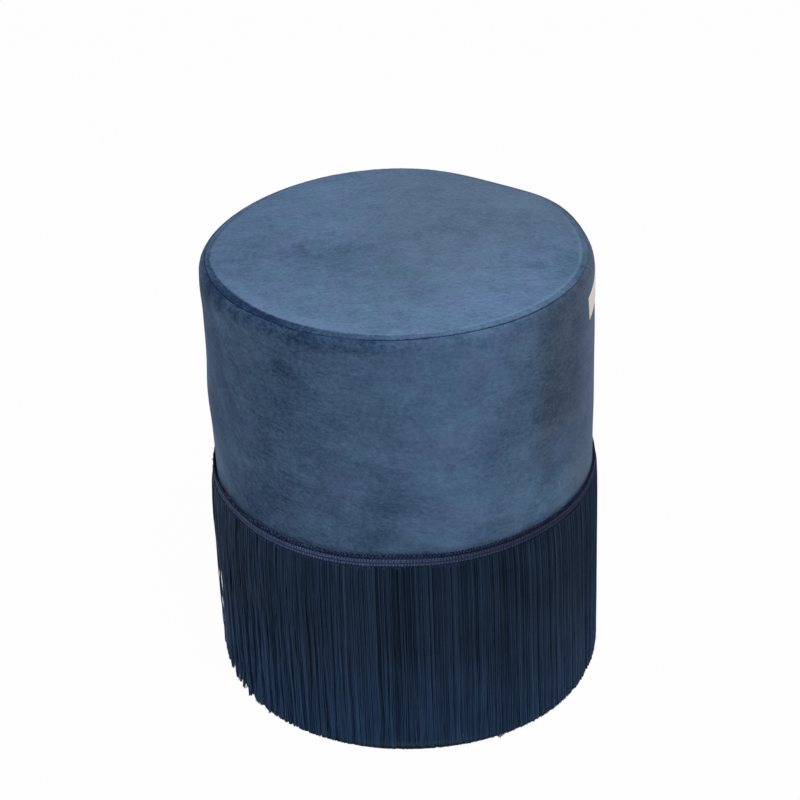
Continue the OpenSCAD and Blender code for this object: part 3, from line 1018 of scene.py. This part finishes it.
def makeBraid(size):
    low, face = headerLow, headerRadius + size["band"]
    high, tape = size["height"], size["height"] * size["tape"]
    outline = [  # two ribs with a groove between them
        (headerRadius, low),
        (face - 0.0003, low),
        (face, low + 0.0006),
        (face, low + tape * 0.38),
        (face - 0.0007, low + tape * 0.46),
        (face, low + tape * 0.54),
        (face, low + tape * 0.86),
        (face - 0.0004, low + tape),
        (headerRadius, low + tape),
    ]

    def place(turn, k):
        radius, level = outline[k]
        drawn = size["drawn"] * bump(turn, 0, 30) * (level - low) / tape
        return radius - drawn, level + bumps(turn, climbs)

    band = turnOutline("braid-band", len(outline), place, bandDye)
    belong(band, "braid", "fringe_header")
    looped = {
        "wide": size["loopWide"],
        "high": size["loopHigh"],
        "wire": size["cord"],
        "radius": headerRadius + 0.0006,
        "level": low + high * 0.62,
    }
    laced = {
        "radius": headerRadius + 0.0010,
        "level": low + high * 0.76,
        "cord": size["cord"],
        "swing": high * 0.15,
        "over": 0.0008,
    }
    rows = {"low": low, "high": high, "pitch": tau * face / size["stitches"]}
    stitched = {**rows, "radius": face + 0.0001, "thickness": 0.0006}
    knotted = {**rows, "radius": headerRadius + 0.0012, "thickness": 0.0007}
    tailed = {"radius": face + 0.0006, "level": low - 0.0008, "wire": 0.00024, "length": 0.0019}
    grown = [
        grow("braid-loops", loopRule, looped, laceCord),
        grow("braid-edge", laceRule, laced, navyCord),
        grow("braid-stitches", lambda nodes, sizes: stitchRows(nodes, sizes, bandRows), stitched, paleCord),
        grow("braid-knots", lambda nodes, sizes: stitchRows(nodes, sizes, knotRows), knotted, navyCord),
        grow("braid-tails", tailRule, tailed, laceCord),
    ]
    return [band, *[belong(piece, "braid") for piece in grown]]


braidPieces = makeBraid(braid)
print("braid made")


# Fringe: twisted yarns that hang from a tape behind the braid
fringe = {
    "yarns": 1120,  # in each quarter
    "quarters": 4,
    "radius": 0.1742,
    "depth": 0.0022,  # how far the yarns lie in front of each other
    "yarn": 0.00034,
    "points": 14,
    "sides": 5,
    "swell": 0.0024,  # how far they stand out below the braid
    "flare": 0.0016,  # and how much further at their ends
    "frontFlare": 0.0036,  # more of it on the front right
    "ragged": 0.0022,  # how much they differ in length
    "leftRagged": 0.0040,
    "leftShort": 0.0046,  # how much shorter the yarns are at the far left
    "bunches": 21,  # in each quarter
    "bunch": 0.0012,
    "strands": 34,  # in each quarter: the few yarns that cling together
    "strand": 0.0013,
    "relief": 0.0022,  # how far a strand stands in front of the gaps beside it, at the left
    "teeth": 0.0060,  # how much shorter the yarns at a strand's sides are, at the left
    "uneven": 0.0100,  # and how much the strands differ in length there
    "waft": 0.0020,  # how much they differ in flare
    "lock": 0.0034,  # one longer lock at the front
    "snug": 0.0014,  # how much closer they hang at the far right
    "crowd": 0.0030,  # how far groups of yarns swing sideways
    "wander": 0.0042,  # and single yarns
    "lean": 0.0034,  # to the right, at the left
    "tuck": 0.0036,  # how far they hang in at the far left, behind the strays
    "loose": 0.45,  # how far a yarn may stand from its even place, in pitches
    "paleness": 1.0,  # share of the pale tones and of the painted light
    "reach": 0.0,  # length below the lowest end in the frame
    "seed": 40,
}

# Behind them a row of thicker yarns, more even in length, so that nothing shows through the ends; they are
# darker as painted shade, and reach a little lower so that their dark ends paint the shadow line under the
# fringe
shadedBackRow = {
    **fringe,
    "yarns": 1040,
    "radius": 0.1743,
    "depth": 0.0003,
    "yarn": 0.00068,
    "points": 10,
    "frontFlare": 0.0030,
    "ragged": 0.0006,
    "leftShort": 0.0110,
    "bunch": 0.0,
    "strand": 0.0,
    "relief": 0.0,
    "teeth": 0.0,
    "uneven": 0.0,
    "lock": 0.0,
    "crowd": 0.0008,
    "wander": 0.0006,
    "loose": 0.12,
    # Darker, as painted shade behind the front yarns
    "paleness": 0.15,
    # A little longer, so that the dark ends paint the shadow under the fringe
    "reach": 0.0012,
    "seed": 90,
}


# A few stray yarns at the left hang away from the others.
strays = {
    **fringe,
    "yarns": 9,
    "radius": 0.1762,
    "depth": 0.0008,
    "yarn": 0.00036,
    "points": 24,
    "swell": 0.0034,
    "flare": 0.0022,
    "tuck": 0.0,
    "waft": 0.0070,
    "wander": 0.0090,
    "ragged": 0.0300,
    "leftRagged": 0.0300,
    "leftShort": 0.0280,
    "relief": 0.0,
    "loose": 1.2,
    "seed": 120,
    "from": -192,  # bearings in degrees
    "to": -164,
}


def yarnLook(nodes):
    tone, fall, near, pale, strand = (
        nodes.add("ShaderNodeAttribute", {"attribute_name": name}, {}, "Fac")
        for name in ("tone", "fall", "near", "pale", "strand"))
    place = objectPlace(nodes)
    turn = nodes.bearing(nodes.split(place))
    drift = nodes.noise(place, 26.0, 2.0) - 0.5
    low = nodes.step(fall, 0.25, 0.95)
    left = nodes.hump(turn, -152.0, 40.0)
    paler = nodes.humps(turn, [(-134, 40, 0.21), (-40, 24, -0.06), (-88, 9, -0.10)])
    right = nodes.hump(turn, -32.0, 30.0)
    # Yarns further back get painted shade, and at the left the strands that stand out get painted light, with
    # painted shade in the gaps between them
    light = tone * tone * (1.0 + left * 1.20 - right * 0.10) + near * 0.33 + drift * 0.5 + low * pale * 0.30
    light = light + strand * (left * 0.60 + 0.02) - left * 0.16 + paler - 0.09
    pure = nodes.mix(low, (0.0300, 0.0570, 0.1100), (0.0300, 0.0710, 0.1520))
    dye = nodes.mix(light, (0.0030, 0.0080, 0.0185), pure)
    violet = nodes.step(tone + nodes.hump(turn, -25.0, 22.0) * 0.17, 0.87, 0.91)
    dye = nodes.mix(violet * 0.5, dye, (0.0220, 0.0250, 0.0600))
    front = nodes.hump(turn, -90.0, 17.0)
    # A lighter band just above the cut ends, and in the last millimetres painted shadow, most at the front
    dye = nodes.mix(nodes.ridge(fall, 0.975, 0.010) * (front * 0.6 + 0.12), dye, (0.050, 0.090, 0.155))
    dye = nodes.mix(nodes.step(fall, 0.986, 0.991) * (front * 0.5 + 0.2), dye, (0.0040, 0.0100, 0.0180))
    twist = nodes.math("SINE", fall * 900.0 + tone * 40.0)
    return {"Base Color": dye, "Roughness": 0.43, "Normal": nodes.bump(twist, 0.00012, 0.6)}


yarnDye = makeMaterial("fringe-yarn", yarnLook, Specular_IOR_Level=0.12, Specular_Tint=(0.25, 0.50, 1.0, 1))


# Each yarn keeps its numbers by name: its turn round the axis, its drop, how pale and how lit it is painted,
# how near the front it hangs, its tone and a number of its own.
def yarnRule(nodes, size):
    def strandPhase(turn, fall):
        wander = nodes.noise(nodes.vector(turn * 11.0, fall * 0.8), 1.0, 2.0)
        return turn * size["strands"] + wander * 14.0

    loose = nodes.random(-1.0, 1.0, 21) * size["loose"]
    share = (nodes.add("GeometryNodeInputIndex") + loose) / size["count"]
    turn = size["from"] + share * (size["to"] - size["from"])
    left = nodes.hump(turn, -165.0, 38.0)
    ragged = size["ragged"] + size["leftRagged"] * left
    near = nodes.random(0.0, 1.0, size["seed"] + 1)
    outer = nodes.step(near, 0.25, 0.75)  # the yarns at the back all reach the bottom
    cut = nodes.random(0.0, 1.0, size["seed"]) ** 1.6
    short = (ragged * cut + left * 0.001) * outer + size["leftShort"] * nodes.hump(turn, -168.0, 20.0)
    short = short - size["lock"] * nodes.hump(turn, -64.6, 0.7)
    below = nodes.math("COSINE", strandPhase(turn, 1.0))
    uneven = nodes.noise(nodes.vector(turn * size["strands"] * 0.25), 1.0, 2.0) - 0.35
    short = short + left * ((0.5 - below * 0.5) * size["teeth"] + uneven * size["uneven"])
    points = nodes.add("GeometryNodePoints", {}, {"Count": size["count"]})
    numbers = {
        "turn": turn,
        "drop": size["drop"] - short,
        "pale": size["paleness"],
        "near": near * size["paleness"],
        "tone": nodes.random(0.0, 1.0, size["seed"] + 2) * size["paleness"],
        "own": nodes.random(0.0, 50.0, size["seed"] + 3),
    }
    points = nodes.store(points, **numbers)
    line = nodes.add("GeometryNodeCurvePrimitiveLine", {}, {"Start": (0, 0, 0), "End": (0, 0, -1)})
    line = nodes.add("GeometryNodeResampleCurve", {"mode": "COUNT"}, {"Curve": line, "Count": size["points"]})
    fall = nodes.split(nodes.add("GeometryNodeInputPosition"), "Z") * -1.0
    yarns = nodes.store(nodes.scatter(points, line), fall=fall)

    fall, turn, own = nodes.read("fall"), nodes.read("turn"), nodes.read("own")
    around = nodes.polar(turn, 1.0, fall * 0.35)
    crowd = nodes.noise(around, 9.0, 2.0) - 0.5
    single = nodes.noise(nodes.vector(own, fall * 2.0), 1.6, 1.0) - 0.5
    away = nodes.noise(nodes.vector(own, fall * 2.0, 7.0), 1.6, 1.0) - 0.5
    bunch = nodes.math("SINE", turn * size["bunches"] + crowd * 9.0)
    left = nodes.hump(turn, -156.0, 40.0)  # the yarns cling together more at the left
    clump = (bunch * size["bunch"] + crowd * size["crowd"]) * (left * 2.1 + 0.5)
    phase = strandPhase(turn, fall)
    gap = (0.5 - nodes.math("COSINE", phase) * 0.5) ** 3.0  # wide strands with narrow gaps
    lower = nodes.step(fall, 0.1, 0.7)  # finer ones near the braid
    strand = (1.0 - gap * 2.0) * lower + nodes.math("COSINE", phase * 2.3) * (1.0 - lower) * 0.6
    cling = nodes.math("SINE", phase) * size["strand"] * (left * 1.1 + 0.1)
    sideways = clump * fall ** 1.4 + single * size["wander"] * fall * (left * 0.4 + 0.6)
    sideways = sideways - cling * lower + nodes.hump(turn, -150.0, 26.0) * size["lean"] * fall
    outwards = size["radius"] + nodes.read("near") / size["paleness"] * size["depth"]
    swell = size["swell"] - nodes.hump(turn, -4.0, 26.0) * size["snug"]
    outwards = outwards + swell * (1.0 - nodes.math("EXPONENT", fall * -13.0))
    outwards = outwards + strand * size["relief"] * (left + 0.03) * nodes.step(fall, 0.0, 0.2)
    flare = size["flare"] + nodes.hump(turn, -52.0, 26.0) * size["frontFlare"] + away * size["waft"]
    flare = flare - nodes.hump(turn, -172.0, 22.0) * 0.0030
    tuck = nodes.hump(turn, -178.0, 13.0) * nodes.ridge(fall, 0.62, 0.24)
    outwards = outwards + flare * fall - tuck * size["tuck"]
    angle = turn + sideways / size["radius"]
    height = size["top"] + nodes.humps(turn, climbs) * (1.0 - fall) - fall * nodes.read("drop")
    yarns = nodes.store(yarns, strand=strand)
    moved = {"Geometry": yarns, "Position": nodes.polar(angle, outwards, height)}
    yarns = nodes.add("GeometryNodeSetPosition", {}, moved)
    return nodes.smooth(nodes.tube(yarns, size["yarn"], size["sides"], True))


def hangYarns(name, size, begin, end, seed):
    sizes = {
        **{key: value for key, value in size.items() if key not in ("yarns", "quarters", "reach")},
        "count": size["yarns"],
        "from": begin,
        "to": end,
        "drop": headerLow - yarnEnds + size["reach"],
        "seed": seed,
        "top": headerLow,
        "bunches": float(size["bunches"] * size["quarters"]),
        "strands": float(size["strands"] * size["quarters"]),
    }
    return belong(grow(name, yarnRule, sizes, yarnDye), "fringe_yarn", "fringe_strands")


def makeFringe(size):
    pieces = []
    quarterTurn = tau / size["quarters"]
    for quarter in range(size["quarters"]):
        begin = -pi + quarter * quarterTurn
        name = f"fringe-yarns-{quarter + 1}"
        pieces.append(hangYarns(name, size, begin, begin + quarterTurn, size["seed"] + quarter * 10))
    pieces.append(hangYarns("fringe-yarns-back", shadedBackRow, -pi, pi, shadedBackRow["seed"]))
    begin, end = radians(strays["from"]), radians(strays["to"])
    pieces.append(hangYarns("fringe-strays", strays, begin, end, strays["seed"]))
    return pieces


# Tape that the yarns hang from, behind the braid
tape = {
    "below": 0.003,  # how far it reaches below the braid
    "share": 0.52,  # how far up the braid
    "gap": 0.0002,
    "thickness": 0.001,
}


def makeTape(size):
    low, high = headerLow - size["below"], headerLow + braid["height"] * size["share"]
    inner = bodyRadius + size["gap"]
    outer = inner + size["thickness"]
    outline = [(inner, low), (outer, low), (outer, high), (inner, high)]
    piece = turnOutline("fringe-tape", len(outline), lambda turn, k: outline[k], navyCord)
    return belong(piece, "braid", "fringe_strands")


trimming = [*braidPieces, *makeFringe(fringe), makeTape(tape)]
print("fringe hung")


# Label: a blank woven tab, sewn flat on the side
label = {
    "turn": -12.8,  # bearing of its middle
    "width": 0.048,
    "height": 0.023,
    "slope": 12,  # degrees
    "thickness": 0.0004,
    "gap": 0.0001,
    "curl": 0.0001,
    "across": 48,  # faces
    "up": 24,
}


def labelLook(nodes):
    place = clothPlace(nodes)
    threads = {"Vector": place, "Scale": 700.0, "Distortion": 1.5}
    weave = nodes.add("ShaderNodeTexWave", {"wave_type": "BANDS", "bands_direction": "Y"}, threads)
    cloth = nodes.noise(place, 300.0, 3.0)
    return {
        "Base Color": nodes.mix(cloth, (0.87, 0.82, 0.72), (0.97, 0.93, 0.84)),
        "Roughness": 0.55,
        "Normal": nodes.bump(weave.out("Fac") * 0.5 + cloth * 0.5, 0.0002, 0.5),
    }


def makeLabel(size):
    across, up = size["across"], size["up"]
    slope = radians(size["slope"])
    middle = (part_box("label")[0].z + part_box("label")[1].z) / 2
    points, uvs, faces = [], [], []
    for face in (1, 0):
        for j in range(up + 1):
            for i in range(across + 1):
                u, v = (i / across - 0.5) * size["width"], (j / up - 0.5) * size["height"]
                turn = radians(size["turn"]) + (u * cos(slope) - v * sin(slope)) / bodyRadius
                height = middle + u * sin(slope) + v * cos(slope)
                rise = size["gap"] + size["curl"] * sin(pi * i / across) * sin(pi * j / up) ** 0.7
                radius = sideRadius(turn, height) + rise + size["thickness"] * face
                points.append((radius * cos(turn), radius * sin(turn), height))
                uvs.append((u, v))
    row = across + 1
    grid = row * (up + 1)
    for j in range(up):
        for i in range(across):
            a = j * row + i
            faces.append((a, a + 1, a + row + 1, a + row))
            faces.append((a + grid, a + row + grid, a + row + 1 + grid, a + 1 + grid))
    border = [*range(row), *[j * row + across for j in range(1, up)]]
    border += [*range(up * row + across, up * row - 1, -1), *[j * row for j in range(up - 1, 0, -1)]]
    for k, a in enumerate(border):
        b = border[(k + 1) % len(border)]
        faces.append((a, a + grid, b + grid, b))
    piece = makePiece("label-tape", points, faces, makeMaterial("label-tape", labelLook), uvs)
    closeSeams(piece)
    return belong(piece, "label_tape", "label")


makeLabel(label)
print("label sewn on")


# Hidden padding, dust cover and frame
def foamLook(nodes):
    place = objectPlace(nodes)
    cells = nodes.add("ShaderNodeTexVoronoi", {}, {"Vector": place, "Scale": 900.0}, "Distance")
    age = nodes.noise(place, 12.0, 3.0)
    return {
        "Base Color": nodes.mix(age * 0.6 + cells * 0.4, (0.70, 0.63, 0.44), (0.86, 0.82, 0.68)),
        "Roughness": 0.95,
        "Normal": nodes.bump(cells, 0.0006, 0.8),
    }


def clothUnderLook(nodes):
    place = objectPlace(nodes)
    bonds = {"Vector": place, "Scale": 420.0, "Randomness": 0.1}
    dots = nodes.add("ShaderNodeTexVoronoi", {}, bonds, "Distance")
    fibre = nodes.noise(place, 240.0, 4.0, 0.7)
    return {
        "Base Color": nodes.mix(fibre, (0.010, 0.010, 0.011), (0.032, 0.032, 0.035)),
        "Roughness": 0.7 + fibre * 0.2,
        "Normal": nodes.bump(dots + fibre * 0.3, 0.0003, 0.7),
    }


def woodLook(nodes, pale, dark, along, rings):
    place = nodes.stretch(objectPlace(nodes), (1.0, 1.0, along))
    grain = nodes.noise(place, rings, 4.0, 0.6, 1.2)
    pores = nodes.noise(place, rings * 9, 2.0)
    return {
        "Base Color": nodes.mix(grain * 0.7 + pores * 0.3, dark, pale),
        "Roughness": 0.55 + pores * 0.25,
        "Normal": nodes.bump(grain * 0.6 + pores * 0.4, 0.0003, 0.4),
    }


def plyLook(nodes):  # thin layers that show as stripes on the board's edge
    place = objectPlace(nodes)
    height = nodes.split(place, "Z")
    plies = nodes.math("SINE", height * (tau / 0.0028)) * 0.5 + 0.5
    grain = nodes.noise(nodes.stretch(place, (3.0, 40.0, 1.0)), 6.0, 4.0, 0.6)
    return {
        "Base Color": nodes.mix(grain * 0.6 + plies * 0.3, (0.40, 0.27, 0.15), (0.70, 0.53, 0.34)),
        "Roughness": 0.6 + grain * 0.2,
        "Normal": nodes.bump(grain, 0.0003, 0.4),
    }


def metalLook(nodes, dark, light):
    wear = nodes.noise(nodes.stretch(objectPlace(nodes), (1.0, 1.0, 4.0)), 300.0, 3.0)
    return {
        "Base Color": nodes.mix(wear, dark, light),
        "Metallic": 1.0,
        "Roughness": 0.28 + wear * 0.25,
        "Normal": nodes.bump(wear, 0.0001, 0.3),
    }


def plasticLook(nodes):
    grain = nodes.noise(objectPlace(nodes), 900.0, 3.0)
    return {
        "Base Color": nodes.mix(grain, (0.012, 0.012, 0.012), (0.030, 0.030, 0.031)),
        "Roughness": 0.45 + grain * 0.2,
        "Normal": nodes.bump(grain, 0.0001, 0.4),
    }


foamFinish = makeMaterial("foam", foamLook)
clothUnder = makeMaterial("dust-cloth", clothUnderLook)
pine = ((0.74, 0.56, 0.34), (0.55, 0.37, 0.19), 0.06, 90.0)
hardboard = ((0.34, 0.22, 0.13), (0.22, 0.13, 0.07), 1.0, 140.0)
wire = ((0.42, 0.42, 0.43), (0.66, 0.66, 0.68))
zinc = ((0.60, 0.48, 0.22), (0.78, 0.66, 0.38))
frameFinishes = {
    "plywood": (plyLook, (), ["base_board", "seat_board"]),
    "pine": (woodLook, pine, ["post_1", "post_2", "post_3", "post_4"]),
    "hardboard": (woodLook, hardboard, ["side_shell"]),
    "glide-plastic": (plasticLook, (), ["glides"]),
    "staple-wire": (metalLook, wire, ["glide_nails", "shell_staples", "hem_staples", "dust_cover_staples"]),
    "screw-zinc": (metalLook, zinc, ["base_screws", "seat_screws"]),
}
for finish, (look, tones, names) in frameFinishes.items():
    material = makeMaterial(finish, lambda nodes: look(nodes, *tones))
    for name in names:
        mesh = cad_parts[name].data
        mesh.materials.clear()
        mesh.materials.append(material)


foam = {
    "steps": 160,
    "rings": 24,
    "rimRings": 9,
    "foldedRings": 6,  # of them under the folded edge of the velvet
    "gap": 0.0002,  # to the velvet
    "lower": 0.0009,  # how much lower still the crown lies
    "crown": 0.97,  # how far it reaches, in shares of the way to the crease
    "bevel": 0.002,
    "sideThickness": 0.006,
    "sideBevel": 0.001,
    "sideGap": 0.0001,  # to the seat foam
}


def makeSeatFoam(size):
    low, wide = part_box("seat_foam")[0].z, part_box("seat_foam")[1].x
    rings, rim, bevel = size["rings"], size["rimRings"], size["bevel"]
    inset = cover["thickness"] + size["gap"]

    def place(turn, k):
        if k < rings:
            return seatSurface(turn, size["crown"] * k / (rings - 1), inset + size["lower"])
        k -= rings
        if k < rim:
            folded = 3 * cover["thickness"] + size["gap"]  # three layers of velvet
            return rimPoint(turn, k * 90 / (rim - 1), folded if k < size["foldedRings"] else inset)
        edge = wide - slump(turn)[0]
        return [(edge, (low + rimLevel) / 2), (edge, low + bevel), (edge - bevel, low), (0, low)][k - rim]

    # The last four points are its side and its underside.
    piece = turnOutline("seat-foam", rings + rim + 4, place, foamFinish, steps=size["steps"])
    belong(piece, "foam", "seat_foam")


def makeSideFoam(size):
    low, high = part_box("side_foam")
    outer, inner = high.x, high.x - size["sideThickness"]
    bevel, top = size["sideBevel"], high.z - size["sideGap"]
    ring = [
        (inner, low.z + bevel),
        (inner + bevel, low.z),
        (outer - bevel, low.z),
        (outer, low.z + bevel),
        (outer, high.z - bevel),
        (outer - bevel, top),
        (inner + bevel, top),
        (inner, high.z - bevel),
    ]
    piece = turnOutline("side-foam", len(ring), lambda turn, k: ring[k], foamFinish, steps=size["steps"])
    belong(piece, "foam", "side_foam")


dustCover = {
    "rings": 40,
    "steps": 200,
    "sag": 0.00035,
    "waves": 22,
    "under": 0.0001,  # how far its upper face lies below the velvet's hem
}


def makeDustCover(size):
    low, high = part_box("dust_cover")
    rings = size["rings"]

    def place(turn, k):
        face = k < rings
        share = k / (rings - 1) if face else (2 * rings - 1 - k) / (rings - 1)
        radius = high.x * share
        spot = Vector((radius * cos(turn), radius * sin(turn), 0)) * size["waves"]
        sag = size["sag"] * (noise.noise(spot) - 0.6) * (1 - share ** 8)
        return radius, (low.z if face else high.z - size["under"]) + min(sag, 0)

    piece = turnOutline("dust-cover", 2 * rings, place, clothUnder, steps=size["steps"])
    belong(piece, "nonwoven", "dust_cover")


makeSeatFoam(foam)
makeSideFoam(foam)
makeDustCover(dustCover)
print("padding, dust cover and frame dressed")
